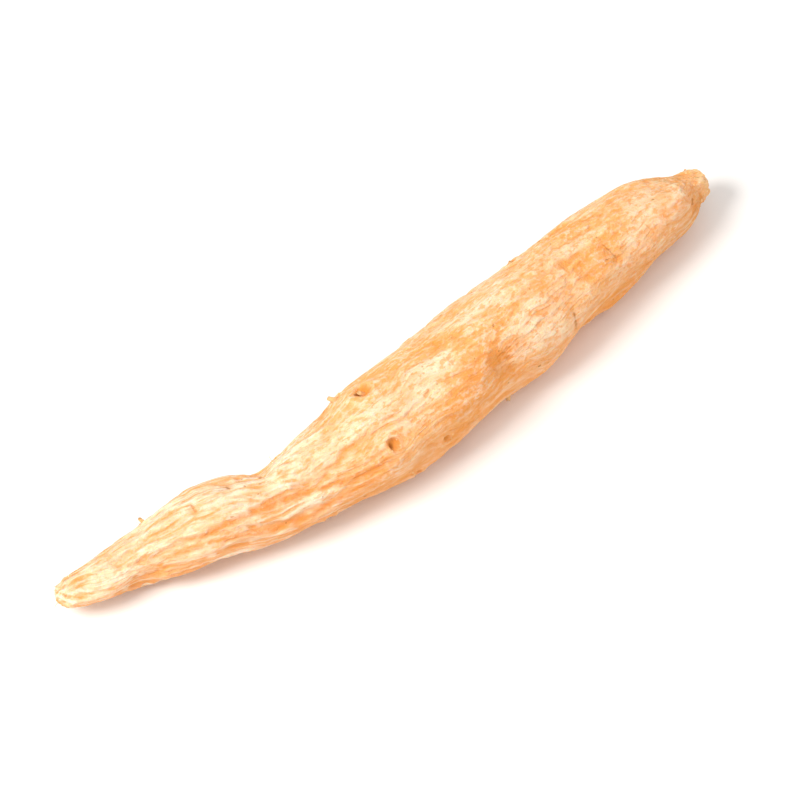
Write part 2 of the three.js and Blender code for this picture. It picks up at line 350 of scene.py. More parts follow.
@dataclass
class RootForm:
    """The whole form of the root, from the same sizes as its solid."""

    stations: tuple[Station, ...] = (
        Station(0.5, 0.7, 1.9, 0.88, 0.84),
        Station(3.0, -0.2, 2.0, 1.35, 1.3),
        Station(6.4, -0.4, 2.25, 1.75, 1.65),
        Station(10.1, -1.05, 2.7, 2.4, 2.2),
        Station(12.6, -1.65, 2.8, 2.6, 2.45),
        Station(15.6, -2.55, 2.75, 2.4, 2.25),
        Station(19.4, -2.75, 3.0, 2.95, 2.8),
        Station(24.5, -2.4, 3.25, 3.75, 3.4),
        Station(30.0, -2.0, 3.3, 3.6, 3.5),
        Station(36.0, -1.1, 3.2, 3.55, 3.4),
        Station(41.4, -0.35, 2.95, 3.3, 3.0),
        Station(46.4, 0.35, 2.85, 2.9, 2.6),
        Station(49.6, 0.3, 2.8, 2.3, 2.1),
        Station(51.6, 0.55, 2.75, 1.4, 1.25),
        Station(52.8, 0.5, 2.7, 0.88, 0.84),
    )
    origin: tuple[float, float] = (26.55, -1.3)
    tail_end: BluntEnd = BluntEnd(1, 2.1)
    crown_end: BluntEnd = BluntEnd(0.45, 3)
    ring_step: float = 0.46
    end_rings: int = 4
    sectors: int = 46
    lobes: tuple[Lobe, ...] = (
        Lobe(2, 0.03, 0.6, 0.035),
        Lobe(3, 0.03, 2.1, -0.05),
        Lobe(5, 0.016, 4.0, 0.08),
    )
    swell_count: int = 14
    swell_height: float = 0.05
    swell_slowest: float = 0.25
    swell_fastest: float = 1.1
    swell_most_round: int = 4
    tail_length: float = 22.0
    tail_turn: float = 0.022
    body_turn: float = 0.008
    seen_furrows: tuple[Furrow, ...] = (
        Furrow(1.92, 7.5, 25, 0.17, 0.32, 0.14, 0.57, 2.15),
        Furrow(2.4, 6, 23, 0.15, 0.34, 0.08, 0.5, 0),
    )
    tail_furrows: FurrowRun = FurrowRun(9, 0.2, 0.36, 1.5, 26, 0.09)
    crown_furrows: FurrowRun = FurrowRun(9, 0.13, 0.42, 37, 52, 0.12)
    body_furrows: FurrowRun = FurrowRun(28, 0.12, 0.45, 15, 48, 0.18)
    scar_rows: tuple[float, ...] = (0.1, 3.85, 5.0)
    scars_a_row: int = 7
    scar_first: float = 6.0
    scar_gap: float = 5.7
    scar_size: float = 0.55
    scar_rim: float = 0.09
    scar_rim_width: float = 0.5
    scar_pit: float = 0.24
    scar_pit_width: float = 0.6
    seen_scars: tuple[Scar, ...] = (
        Scar(24.0, 1.1, 0.9),
        Scar(23.3, 2.31, 0.6),
        Scar(26.8, 2.98, 0.4),
    )
    single_mounds: tuple[Mound, ...] = (
        Mound(11.4, 1.45, 1.3, 0.22),
        Mound(32.5, 2.43, 1.3, -0.26),
        Mound(36.5, 1.5, 1.8, 0.14),
        Mound(28.0, 4.0, 1.9, -0.2),
        Mound(21.5, 0.2, 1.4, -0.16),
        Mound(44.5, 5.6, 1.5, 0.16),
    )
    creases: tuple[Crease, ...] = (
        Crease(10.3, 1.45, 0.9, 0.35, 0.12),
        Crease(12.7, 1.2, 0.9, 0.4, 0.16),
        Crease(15.2, 0.85, 1.5, 0.75, 0.2),
        Crease(43.2, 2.0, 1.1, 0.35, 0.16),
        Crease(38.4, 2.8, 1.6, 0.4, 0.12),
        Crease(50.7, 2.5, 0.9, 0.35, 0.14),
        Crease(19.6, 4.4, 1.8, 0.4, 0.16),
        Crease(30.2, 5.4, 2.2, 0.45, 0.16),
        Crease(41.0, 4.1, 1.8, 0.4, 0.14),
        Crease(35.1, 0.2, 1.6, 0.4, 0.14),
    )
    crease_bow: float = 0.12
    collar_before_end: float = 1.5
    collar_width: float = 0.45
    collar_depth: float = 0.08
    bud_scales: int = 6
    bud_before_end: float = 0.75
    bud_size: float = 0.38
    bud_height: float = 0.17
    stem_pit: float = 0.35
    stem_pit_share: float = 0.36
    stub_every: int = 3
    stub_lowest: float = -0.75
    stub_lean: float = 0.6
    stub_shortest: float = 0.2
    stub_longest: float = 0.75
    seed: int = 20817

    def __post_init__(self) -> None:
        """Measure the middle line and make every draw, in the order that the solid makes them."""
        self.middle = np.array([(p.x, p.y, p.z) for p in self.stations])
        self.girth = np.array([(p.across, p.high) for p in self.stations])
        self.shares = np.linspace(0.0, 1.0, 201)
        steps = np.diff(curve_through(self.middle, self.shares), axis=0)
        self.lengths = np.concatenate([[0.0], np.cumsum(np.linalg.norm(steps, axis=1))])
        self.length = float(self.lengths[-1])
        self.draws = Draws(self.seed)
        self.furrows = [
            *self.seen_furrows,
            *self.tail_furrows.long_ones(self.draws),
            *self.crown_furrows.long_ones(self.draws),
            *self.body_furrows.short_ones(self.draws),
        ]
        self.swells = [self.draw_swell() for _ in range(self.swell_count)]
        row_scars = [self.draw_scar(row, i) for row in self.scar_rows for i in range(self.scars_a_row)]
        self.scars = [self.on_point(scar) for scar in (*self.seen_scars, *row_scars)]
        self.buds = [self.draw_bud(i) for i in range(self.bud_scales)]

    def draw_swell(self) -> Swell:
        """Draw one low wave.

        Returns:
            The wave.
        """
        return Swell(
            height=self.swell_height * self.draws.between(0.4, 1),
            along=self.draws.between(self.swell_slowest, self.swell_fastest),
            around=math.floor(self.draws.between(0, self.swell_most_round + 1)),
            phase=self.draws.between(0, TURN),
        )

    def draw_scar(self, row: float, i: int) -> Scar:
        """Draw one scar of a row of rootlets.

        Args:
            row: The angle that the row runs along.
            i: The scar's number in its row.

        Returns:
            The scar.
        """
        return Scar(
            s=self.scar_first + self.scar_gap * i + self.draws.between(-1.6, 1.6),
            angle=row + self.draws.between(-0.35, 0.35),
            size=self.scar_size * self.draws.between(0.55, 1.35),
        )

    def draw_bud(self, i: int) -> Mound:
        """Draw one crumbled bud scale of the crown.

        Args:
            i: The scale's number round the crown.

        Returns:
            The scale as a small mound.
        """
        return Mound(
            s=self.length - self.bud_before_end + self.draws.between(-0.2, 0.2),
            angle=(i + self.draws.between(-0.2, 0.2)) * TURN / self.bud_scales,
            size=self.bud_size * self.draws.between(0.8, 1.2),
            height=self.bud_height * self.draws.between(0.6, 1.2),
        )

    def ring_places(self, step: float, end_rings: int) -> np.ndarray:
        """Give where rings stand, closer together over the two blunt ends.

        Args:
            step: The distance between two rings.
            end_rings: How many steps each blunt end takes.

        Returns:
            The distances from the tail.
        """
        inner = 1 - np.cos(TURN / 4 * np.arange(1, end_rings) / end_rings)
        first = self.tail_end.length
        last = self.length - self.crown_end.length
        even = np.linspace(first, last, round((last - first) / step) + 1)
        return np.concatenate([first * inner, even, self.length - self.crown_end.length * inner[::-1]])

    def on_point(self, scar: Scar) -> Scar:
        """Move a scar to the nearest point of the solid's skin.

        Args:
            scar: The scar as it was drawn.

        Returns:
            The same scar, moved.
        """
        places = self.ring_places(self.ring_step, self.end_rings)
        nearest = float(places[np.argmin(np.abs(places - scar.s))])
        sector = TURN / self.sectors
        return Scar(nearest, math.floor(scar.angle / sector + 0.5) * sector, scar.size)

    def sections(self, s: np.ndarray) -> Sections:
        """Cut the root at some distances from its tail.

        Args:
            s: The distances.

        Returns:
            The cross-sections there.
        """
        share = np.interp(s, self.lengths, self.shares)
        reach = 1e-4
        ahead = curve_through(self.middle, share + reach)
        along = ahead - curve_through(self.middle, share - reach)
        along /= np.linalg.norm(along, axis=-1, keepdims=True)
        side = np.cross((0.0, 0.0, 1.0), along)
        side /= np.linalg.norm(side, axis=-1, keepdims=True)
        girth = curve_through(self.girth, share)
        return Sections(
            s=s,
            centre=curve_through(self.middle, share),
            along=along,
            side=side,
            top=np.cross(along, side),
            across=girth[..., 0],
            high=girth[..., 1],
            full=self.tail_end.rounded(s) * self.crown_end.rounded(self.length - s),
        )

    def grain_turn(self, s: np.ndarray) -> np.ndarray:
        """Give how far the grain has turned round the root, at a distance from the tail."""
        tail = np.minimum(s, self.tail_length)
        return self.tail_turn * tail + self.body_turn * (s - tail)

    def along_grain(self, at: Places) -> Places:
        """Take the grain's own turn off the angles of some places."""
        return replace(at, angle=at.angle - self.grain_turn(at.s))

    def furrow_depth(self, at: Places) -> np.ndarray:
        """Add up how deep the furrows are at each place."""
        grain = self.along_grain(at)
        return sum(furrow.depth_at(grain) for furrow in self.furrows)

    def crease_depth(self, at: Places) -> np.ndarray:
        """Add up how deep the creases across the grain are at each place."""
        return sum(crease.depth * crease.line(at, self.crease_bow) for crease in self.creases)

    def scar_height(self, at: Places) -> np.ndarray:
        """Add up the rims and pits of the scars.

        Args:
            at: The places.

        Returns:
            How high they stand at each place, less than 0 in a pit.
        """
        total = at.zeros()
        for scar in self.scars:
            off = scar.offset(at)
            pit = self.scar_pit * bell(off, self.scar_pit_width)
            total += scar.size / self.scar_size * (self.scar_rim * bell(off - 1, self.scar_rim_width) - pit)
        return total

    def swelling(self, at: Places) -> np.ndarray:
        """Add up the waves, the single mounds, the bud scales and the pinched collar.

        Args:
            at: The places.

        Returns:
            How high they stand at each place.
        """
        total = -self.collar_depth * bell(self.length - at.s - self.collar_before_end, self.collar_width)
        for wave in self.swells:
            total = total + wave.height * np.cos(wave.along * at.s + wave.around * at.angle + wave.phase)
        for mound in (*self.single_mounds, *self.buds):
            total = total + mound.height * bell(mound.offset(at), mound.size)
        return total

    def relief(self, at: Places) -> np.ndarray:
        """Give how far the skin stands out from the plain root at each place."""
        hollows = self.furrow_depth(at) + self.crease_depth(at)
        return self.swelling(at) + self.scar_height(at) - hollows

    def lobe_share(self, s: np.ndarray, angle: np.ndarray) -> np.ndarray:
        """Give how the blunt lobes widen or narrow the root, as a share of its girth."""
        return 1 + sum(b.share * np.cos(b.count * angle + b.start + b.turn * s) for b in self.lobes)

    def skin_points(self, cut: Sections, angle: np.ndarray, relief: np.ndarray) -> np.ndarray:
        """Place points of the skin.

        Args:
            cut: The cross-sections, one a row.
            angle: The angle round the root of each column.
            relief: How far the skin stands out there.

        Returns:
            The points in millimetres, round the origin.
        """
        s = cut.s[:, None]
        share = cut.full[:, None] * self.lobe_share(s, angle)
        raised = cut.full[:, None] * relief
        out = np.cos(angle) * (cut.across[:, None] * share + raised)
        up = np.sin(angle) * (cut.high[:, None] * share + raised)
        points = cut.centre[:, None] + out[..., None] * cut.side[:, None] + up[..., None] * cut.top[:, None]
        return points - np.array([*self.origin, 0.0])

    def stubs(self) -> list["Stub"]:
        """Draw the broken rootlets that still stand in some scars.

        Returns:
            The stubs.
        """
        chosen = [
            scar
            for i, scar in enumerate(self.scars)
            if i % self.stub_every == 0 and math.sin(scar.angle) > self.stub_lowest
        ]
        return [self.draw_stub(scar) for scar in chosen]

    def spot(self, s: float, angle: float) -> tuple[Vector, Vector, Vector]:
        """Find one spot of the skin.

        Args:
            s: The distance from the tail.
            angle: The angle round the root.

        Returns:
            The spot, the way outwards and the way along the root.
        """
        cut = self.sections(np.array([s]))
        turn = np.array([[angle]])
        place = self.skin_points(cut, turn, self.relief(cut.places(turn)))[0, 0]
        outward = math.cos(angle) * cut.side[0] + math.sin(angle) * cut.top[0]
        return Vector(place), Vector(outward), Vector(cut.along[0])

    def draw_stub(self, scar: Scar) -> "Stub":
        """Draw one broken rootlet.

        Args:
            scar: The scar that it stands in.

        Returns:
            Where it stands, which way it points and how long it is.
        """
        foot, outward, along = self.spot(scar.s, scar.angle)
        lean = self.stub_lean * self.draws.between(0.3, 1.4)
        length = self.draws.between(self.stub_shortest, self.stub_longest)
        return Stub(foot, (outward - lean * along).normalized(), length)


@dataclass(frozen=True)
class Stub:
    """A broken rootlet: where it leaves the skin, which way it points and how far it stands out."""

    foot: Vector
    direction: Vector
    length: float


# Meshes

def blurred(field: np.ndarray, rings: float, sectors: float) -> np.ndarray:
    """Smooth a field over the skin.

    Args:
        field: The values, one row a ring.
        rings: How many rings the blur spreads over.
        sectors: How many sectors the blur spreads over.

    Returns:
        The smooth field.
    """
    mirrored = np.concatenate([field, field[::-1]])
    along = np.exp(-2 * (math.pi * rings * np.fft.fftfreq(mirrored.shape[0])) ** 2)
    around = np.exp(-2 * (math.pi * sectors * np.fft.fftfreq(mirrored.shape[1])) ** 2)
    smooth = np.fft.ifft2(np.fft.fft2(mirrored) * along[:, None] * around[None])
    return np.real(smooth)[: len(field)]


def tube_faces(rings: int, sectors: int) -> list[tuple[int, ...]]:
    """Join rings of points into a closed skin between a point at each end.

    Args:
        rings: How many rings there are. Their points follow the first end's point.
        sectors: How many points each ring has.

    Returns:
        The faces, which point outwards.
    """
    def at(ring: int, j: int) -> int:
        """Give the number of a ring's point."""
        return 1 + ring * sectors + j % sectors

    last = rings * sectors + 1
    faces: list[tuple[int, ...]] = [(0, at(0, j + 1), at(0, j)) for j in range(sectors)]
    for ring in range(rings - 1):
        faces += [
            (at(ring, j), at(ring, j + 1), at(ring + 1, j + 1), at(ring + 1, j)) for j in range(sectors)
        ]
    faces += [(at(rings - 1, j), at(rings - 1, j + 1), last) for j in range(sectors)]
    return faces


def new_object(name: str, points: np.ndarray, faces: list[tuple[int, ...]]) -> bpy.types.Object:
    """Make a smooth-shaded mesh object at the origin.

    Args:
        name: The object's name.
        points: Its points in metres.
        faces: Its faces.

    Returns:
        The object, linked to the scene.
    """
    mesh = bpy.data.meshes.new(name)
    mesh.from_pydata([tuple(p) for p in np.asarray(points, float).tolist()], [], faces)
    mesh.shade_smooth()
    made = bpy.data.objects.new(name, mesh)
    bpy.context.scene.collection.objects.link(made)
    return made


def store(mesh: bpy.types.Mesh, name: str, values: np.ndarray) -> None:
    """Keep one number or one vector for each point of a mesh.

    Args:
        mesh: The mesh.
        name: The attribute's name.
        values: The values, one a point.
    """
    vector = values.ndim == 2
    layer = mesh.attributes.new(name, "FLOAT_VECTOR" if vector else "FLOAT", "POINT")
    flat = np.ascontiguousarray(values, np.float32).ravel()
    layer.data.foreach_set("vector" if vector else "value", flat)


# Node trees

MATH = "ShaderNodeMath"
VECTOR_MATH = "ShaderNodeVectorMath"
SPREAD = "ShaderNodeMapRange"
NOISE = "ShaderNodeTexNoise"
BUMP = "ShaderNodeBump"
MESH_VALUE = "ShaderNodeAttribute"
NAMED_VALUE = "GeometryNodeInputNamedAttribute"
SMOOTH = {"interpolation_type": "SMOOTHSTEP"}
Sockets = dict[Any, Any] | tuple[Any, ...]
Grain = tuple[float, float, float]


def add_node(
    tree: bpy.types.NodeTree, kind: str, sockets: Sockets = (), give: Any = 0, **settings: Any
) -> Any:
    """Add a node with its settings and its links.

    Args:
        tree: The tree that gets the node.
        kind: The node's type.
        sockets: What the inputs get, a value or an output to link: in a row, or by name or number.
        give: Which output is handed back, by name or number.
        settings: The node's own settings.

    Returns:
        That output, or None from a node that has no outputs.
    """
    node = tree.nodes.new(kind)
    for name, value in settings.items():
        setattr(node, name, value)
    for key, value in sockets.items() if isinstance(sockets, dict) else enumerate(sockets):
        if isinstance(value, bpy.types.NodeSocket):
            tree.links.new(value, node.inputs[key])
        else:
            node.inputs[key].default_value = value
    return node.outputs[give] if len(node.outputs) else None


@dataclass(frozen=True)
class TreeInput:
    """A named input of a geometry tree and the value that a piece gives it."""

    name: str
    kind: str
    value: Any


class GeometryTree:
    """A geometry tree with named inputs, which is run once on an object."""

    def __init__(self, name: str, inputs: list[TreeInput]) -> None:
        """Start the tree.

        Args:
            name: The tree's name.
            inputs: Its named inputs, with their values.
        """
        self.inputs = inputs
        self.tree = bpy.data.node_groups.new(name, "GeometryNodeTree")
        self.tree.interface.new_socket("Geometry", in_out="INPUT", socket_type="NodeSocketGeometry")
        for item in inputs:
            self.tree.interface.new_socket(item.name, in_out="INPUT", socket_type=item.kind)
        self.tree.interface.new_socket("Geometry", in_out="OUTPUT", socket_type="NodeSocketGeometry")
        self.given = self.add("NodeGroupInput").node.outputs

    def add(self, kind: str, sockets: Sockets = (), give: Any = 0, **settings: Any) -> Any:
        """Add a node to the tree, as add_node does."""
        return add_node(self.tree, kind, sockets, give, **settings)

    def finish(self, geometry: bpy.types.NodeSocket) -> None:
        """End the tree with real geometry that has its material.

        Args:
            geometry: What the tree made.
        """
        real = self.add("GeometryNodeRealizeInstances", (geometry,))
        dressed = self.add("GeometryNodeSetMaterial", {"Geometry": real, "Material": self.given["Finish"]})
        self.add("NodeGroupOutput", (dressed,))

    def run(self, on: bpy.types.Object) -> bpy.types.Object:
        """Run the tree on an object and keep the result as a plain mesh.

        Args:
            on: The object, whose mesh is replaced.

        Returns:
            The same object.
        """
        modifier = on.modifiers.new(self.tree.name, "NODES")
        modifier.node_group = self.tree
        sockets = [item for item in self.tree.interface.items_tree if item.in_out == "INPUT"]
        ids = {item.name: item.identifier for item in sockets}
        for item in self.inputs:
            modifier[ids[item.name]] = item.value
        graph = bpy.context.evaluated_depsgraph_get()
        seen = on.evaluated_get(graph)
        mesh = bpy.data.meshes.new_from_object(seen, preserve_all_data_layers=True, depsgraph=graph)
        on.modifiers.remove(modifier)
        on.data = mesh
        return on


@dataclass(frozen=True)
class FineWrinkles:
    """The sizes of the fine wrinkles, of the starch grain and of the torn ends, in millimetres."""

    depth: float = 0.075
    spacing: float = 1.0
    run: float = 6.5
    bold_line: float = 0.16
    slight_line: float = 0.3
    slight_spacing: float = 0.5
    slight_run: float = 0.45
    slight_share: float = 0.6
    drift_scale: float = 0.22
    drift: float = 2.4
    patch_scale: float = 0.3
    patch_from: float = 0.36
    patch_to: float = 0.6
    grain_height: float = 0.045
    grain_size: float = 0.3
    most_grain: float = 1.15
    ragged_height: float = 0.42
    ragged_size: float = 0.36
    ragged_middle: float = 0.55
    seed: float = 4.7

    def inputs(self, finish: bpy.types.Material) -> list[TreeInput]:
        """Name what the wrinkles are made with.

        Args:
            finish: The skin's material.

        Returns:
            The inputs with their values.
        """
        numbers = {
            "Wrinkle depth": self.depth * MM,
            "Wrinkle spacing": self.spacing,
            "Wrinkle run": self.run,
            "Grain height": self.grain_height * MM,
            "Grain size": self.grain_size,
            "Ragged height": self.ragged_height * MM,
            "Ragged size": self.ragged_size,
            "Seed": self.seed,
        }
        made = [TreeInput(name, "NodeSocketFloat", value) for name, value in numbers.items()]
        return [*made, TreeInput("Finish", "NodeSocketMaterial", finish)]


class WrinkleTree(GeometryTree):
    """The tree that lays fine wrinkles, starch grain and torn ends over the skin."""

    def __init__(self, sizes: FineWrinkles, finish: bpy.types.Material) -> None:
        """Build the whole tree.

        Args:
            sizes: The sizes of the wrinkles.
            finish: The skin's material.
        """
        super().__init__("fine_wrinkles", sizes.inputs(finish))
        self.sizes = sizes
        self.lie = self.add(NAMED_VALUE, {"Name": "lie"}, "Attribute", data_type="FLOAT_VECTOR")
        self.seeded = {"W": self.given["Seed"], "Scale": 1.0, "Roughness": 0.5}
        fold = self.folds()
        grain = self.add(MATH, (self.powder(), self.given["Grain height"]), operation="MULTIPLY")
        sunk = self.add(MATH, (fold, self.given["Wrinkle depth"]), operation="MULTIPLY")
        height = self.add(MATH, (grain, sunk), operation="SUBTRACT")
        torn = (self.torn(), self.given["Ragged height"], height)
        height = self.add(MATH, torn, operation="MULTIPLY_ADD")
        kept = self.add(
            "GeometryNodeStoreNamedAttribute",
            {"Geometry": self.pressed(self.raised(height)), "Name": "fold", "Value": fold},
            data_type="FLOAT",
            domain="POINT",
        )
        self.finish(kept)

    def grooves(self, spacing: Any, run: Any, line: float) -> Any:
        """Draw thin wandering grooves along the grain.

        Args:
            spacing: How far apart the grooves lie, in millimetres.
            run: How long they run, in millimetres.
            line: How wide a groove is, as a share of one loop of the noise.

        Returns:
            The output that holds 1 in a groove and 0 outside it.
        """
        slow = self.add(VECTOR_MATH, {0: self.lie, "Scale": self.sizes.drift_scale}, operation="SCALE")
        broad = {"Vector": slow, "Detail": 1.0, **self.seeded}
        drift = self.add(NOISE, broad, "Color", noise_dimensions="4D")
        centred = self.add(VECTOR_MATH, (drift, (0.5, 0.5, 0.5)), operation="SUBTRACT")
        reach = (0.0, self.sizes.drift, self.sizes.drift)
        sway = self.add(VECTOR_MATH, (centred, reach), operation="MULTIPLY")
        swayed = self.add(VECTOR_MATH, (self.lie, sway), operation="ADD")
        along = self.add(MATH, (1.0, run), operation="DIVIDE")
        across = self.add(MATH, (1.0, spacing), operation="DIVIDE")
        stretch = self.add("ShaderNodeCombineXYZ", (along, across, across))
        place = self.add(VECTOR_MATH, (swayed, stretch), operation="MULTIPLY")
        value = self.add(NOISE, {"Vector": place, "Detail": 1.5, **self.seeded}, noise_dimensions="4D")
        signed = self.add(MATH, (value, 0.5), operation="SUBTRACT")
        off = self.add(MATH, (signed,), operation="ABSOLUTE")
        return self.add(SPREAD, (off, 0.0, line, 1.0, 0.0), **SMOOTH)

    def folds(self) -> Any:
        """Lay bold wrinkles in patches, and slight ones between them.

        Returns:
            The output that holds how deep in a fold each point is.
        """
        sizes = self.sizes
        spacing = self.given["Wrinkle spacing"]
        run = self.given["Wrinkle run"]
        place = self.add(VECTOR_MATH, {0: self.lie, "Scale": sizes.patch_scale}, operation="SCALE")
        patches = self.add(NOISE, {"Vector": place, "Detail": 1.0, **self.seeded}, noise_dimensions="4D")
        shown = self.add(SPREAD, (patches, sizes.patch_from, sizes.patch_to), **SMOOTH)
        bold = self.add(MATH, (self.grooves(spacing, run, sizes.bold_line), shown), operation="MULTIPLY")
        finer = self.add(MATH, (spacing, sizes.slight_spacing), operation="MULTIPLY")
        shorter = self.add(MATH, (run, sizes.slight_run), operation="MULTIPLY")
        slight = self.grooves(finer, shorter, sizes.slight_line)
        slight = self.add(MATH, (slight, sizes.slight_share), operation="MULTIPLY")
        return self.add(MATH, (bold, slight), operation="ADD")

    def powder(self) -> Any:
        """Scatter the starch grain, most of it on the mealy body.

        Returns:
            The output that holds the grain's height, about 0 in the middle.
        """
        place = self.add(VECTOR_MATH, (self.lie, self.given["Grain size"]), operation="DIVIDE")
        speck = self.add(NOISE, {"Vector": place, "Detail": 2.0, **self.seeded}, noise_dimensions="4D")
        waxy = self.add(NAMED_VALUE, {"Name": "waxy"}, "Attribute", data_type="FLOAT")
        signed = self.add(MATH, (speck, 0.5), operation="SUBTRACT")
        mealy = self.add(MATH, (self.sizes.most_grain, waxy), operation="SUBTRACT")
        return self.add(MATH, (signed, mealy), operation="MULTIPLY")

    def torn(self) -> Any:
        """Tear up the two broken ends.

        Returns:
            The output that holds how far the torn fibres stand out or sink.
        """
        place = self.add(VECTOR_MATH, (self.lie, self.given["Ragged size"]), operation="DIVIDE")
        torn = self.add(NOISE, {"Vector": place, "Detail": 2.0, **self.seeded}, noise_dimensions="4D")
        ragged = self.add(NAMED_VALUE, {"Name": "ragged"}, "Attribute", data_type="FLOAT")
        signed = self.add(MATH, (torn, self.sizes.ragged_middle), operation="SUBTRACT")
        return self.add(MATH, (signed, ragged), operation="MULTIPLY")

    def raised(self, height: Any) -> Any:
        """Move every point out along its normal.

        Args:
            height: The output that holds how far, in metres.

        Returns:
            The raised geometry.
        """
        normal = self.add("GeometryNodeInputNormal")
        offset = self.add(VECTOR_MATH, {0: normal, "Scale": height}, operation="SCALE")
        return self.add("GeometryNodeSetPosition", {"Geometry": self.given["Geometry"], "Offset": offset})

    def pressed(self, geometry: Any) -> Any:
        """Press the belly flat on the floor.

        Args:
            geometry: The raised geometry.

        Returns:
            The same geometry, with no point under the floor.
        """
        x, y, z = self.add("ShaderNodeSeparateXYZ", (self.add("GeometryNodeInputPosition"),)).node.outputs
        above = self.add(MATH, (z, 0.0), operation="MAXIMUM")
        level = self.add("ShaderNodeCombineXYZ", (x, y, above))
        return self.add("GeometryNodeSetPosition", {"Geometry": geometry, "Position": level})


def perch_tree(name: str, shape: bpy.types.Object, finish: bpy.types.Material) -> GeometryTree:
    """Make the tree that sets a copy of one small shape on each point.

    Args:
        name: The tree's name.
        shape: The small shape, in millimetres, with its foot at the origin and +Z outwards.
        finish: The material of every copy.

    Returns:
        The tree. Each point gives its copy a "lean" and a "size".
    """
    inputs = [
        TreeInput("Shape", "NodeSocketObject", shape),
        TreeInput("Finish", "NodeSocketMaterial", finish),
    ]
    made = GeometryTree(name, inputs)
    lean = made.add(NAMED_VALUE, {"Name": "lean"}, "Attribute", data_type="FLOAT_VECTOR")
    size = made.add(NAMED_VALUE, {"Name": "size"}, "Attribute", data_type="FLOAT_VECTOR")
    copies = made.add(
        "GeometryNodeInstanceOnPoints",
        {
            "Points": made.given["Geometry"],
            "Instance": made.add("GeometryNodeObjectInfo", {"Object": made.given["Shape"]}, "Geometry"),
            "Rotation": made.add("FunctionNodeEulerToRotation", (lean,)),
            "Scale": size,
        },
    )
    made.finish(copies)
    return made


# Finishes

def linear(code: str) -> tuple[float, float, float, float]:
    """Turn an sRGB colour code into the linear colour that nodes take.

    Args:
        code: Six hex digits after a hash.

    Returns:
        The linear colour with full alpha.
    """
    parts = [int(code[i : i + 2], 16) / 255 for i in (1, 3, 5)]
    red, green, blue = (p / 12.92 if p <= 0.04045 else ((p + 0.055) / 1.055) ** 2.4 for p in parts)
    return red, green, blue, 1.0


class Painter:
    """A material under way: a colour that each layer is painted over."""

    def __init__(self, name: str, base: str) -> None:
        """Start the material.

        Args:
            name: The material's name.
            base: The colour under every layer.
        """
        self.material = bpy.data.materials.new(name)
        self.material.use_nodes = True
        self.tree = self.material.node_tree
        self.tree.nodes.clear()
        self.colour = self.add("ShaderNodeRGB")
        self.colour.default_value = linear(base)

    def add(self, kind: str, sockets: Sockets = (), give: Any = 0, **settings: Any) -> Any:
        """Add a node to the material, as add_node does."""
        return add_node(self.tree, kind, sockets, give, **settings)

    def mottles(self, place: Any, grain: Grain, detail: float = 2.0, rough: float = 0.55) -> Any:
        """Draw mottles with a real length, width and height, all in millimetres."""
        sized = self.add(VECTOR_MATH, (place, grain), operation="DIVIDE")
        return self.add(NOISE, {"Vector": sized, "Scale": 1.0, "Detail": detail, "Roughness": rough})

    def lines(self, place: Any, grain: Grain, width: float) -> Any:
        """Draw thin wandering lines, where mottles cross their middle.

        Args:
            place: The output that holds the place, in millimetres.
            grain: How long, wide and high one loop of the lines is, in millimetres.
            width: How wide a line is, as a share of a loop.

        Returns:
            The output that holds 1 in a line and 0 outside it.
        """
        signed = self.add(MATH, (self.mottles(place, grain), 0.5), operation="SUBTRACT")
        off = self.add(MATH, (signed,), operation="ABSOLUTE")
        return self.add(SPREAD, (off, 0.0, width, 1.0, 0.0), **SMOOTH)

    def paint(self, code: str, *shares: Any) -> None:
        """Paint one colour over what is there.

        Args:
            code: The colour's sRGB hex code.
            shares: How much of it shows. Several shares are multiplied. A share is a number, an output,
                or a pattern with its two values where none and all shows, and the shares there.
        """
        shown = None
        for share in shares:
            if isinstance(share, tuple):
                share = self.add(SPREAD, share, **SMOOTH)
            shown = share if shown is None else self.add(MATH, (shown, share), operation="MULTIPLY")
        layers = {0: shown, 6: self.colour, 7: linear(code)}
        self.colour = self.add("ShaderNodeMix", layers, 2, data_type="RGBA", blend_type="MIX")

    def finish(self, sockets: dict[str, Any]) -> bpy.types.Material:
        """Close the material with its surface.

        Args:
            sockets: What the surface's inputs get.

        Returns:
            The material.
        """
        surface = self.add("ShaderNodeBsdfPrincipled", {"Base Color": self.colour, **sockets})
        self.add("ShaderNodeOutputMaterial", {"Surface": surface})
        return self.material


